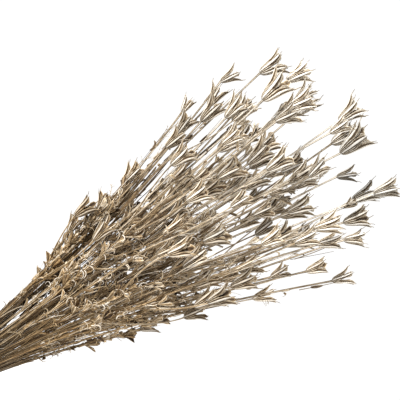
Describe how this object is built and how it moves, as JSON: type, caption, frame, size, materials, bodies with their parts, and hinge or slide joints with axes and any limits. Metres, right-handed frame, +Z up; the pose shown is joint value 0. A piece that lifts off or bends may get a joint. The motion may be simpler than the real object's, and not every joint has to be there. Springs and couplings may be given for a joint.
{
  "type": "dried nigella orientalis in vase",
  "caption": "Upright bunch of dried Nigella orientalis stems with horned, star-mouthed seed heads, fanned out of the narrow neck of a plain stoneware bottle vase.",
  "frame": {"origin": "middle of the vase's flat foot, on the surface that it stands on", "axes": "+Z up along the bunch, +X to the viewer's right and +Y away from the viewer"},
  "size_m": [0.2546, 0.2257, 0.6612],
  "materials": {
    "stoneware": "satin",
    "straw": "matt"
  },
  "bodies": {
    "root": {"vase": "stoneware", "flowering_stem_01": "straw", "flowering_stem_02": "straw", "flowering_stem_03": "straw", "flowering_stem_04": "straw", "flowering_stem_05": "straw", "flowering_stem_06": "straw", "flowering_stem_07": "straw", "flowering_stem_08": "straw", "flowering_stem_09": "straw", "flowering_stem_10": "straw", "flowering_stem_11": "straw", "flowering_stem_12": "straw", "flowering_stem_13": "straw", "flowering_stem_14": "straw", "flowering_stem_15": "straw", "flowering_stem_16": "straw", "flowering_stem_17": "straw", "flowering_stem_18": "straw", "flowering_stem_19": "straw", "flowering_stem_20": "straw", "flowering_stem_21": "straw", "flowering_stem_22": "straw", "flowering_stem_23": "straw", "flowering_stem_24": "straw", "flowering_stem_25": "straw", "flowering_stem_26": "straw", "flowering_stem_27": "straw", "flowering_stem_28": "straw", "flowering_stem_29": "straw", "flowering_stem_30": "straw", "flowering_stem_31": "straw", "flowering_stem_32": "straw", "flowering_stem_33": "straw", "flowering_stem_34": "straw", "flowering_stem_35": "straw", "flowering_stem_36": "straw", "flowering_stem_37": "straw", "flowering_stem_38": "straw", "flowering_stem_39": "straw", "flowering_stem_40": "straw", "flowering_stem_41": "straw", "flowering_stem_42": "straw", "flowering_stem_43": "straw", "flowering_stem_44": "straw", "flowering_stem_45": "straw", "flowering_stem_46": "straw", "flowering_stem_47": "straw", "flowering_stem_48": "straw", "flowering_stem_49": "straw", "flowering_stem_50": "straw", "flowering_stem_51": "straw", "flowering_stem_52": "straw"}
  },
  "joints": []
}
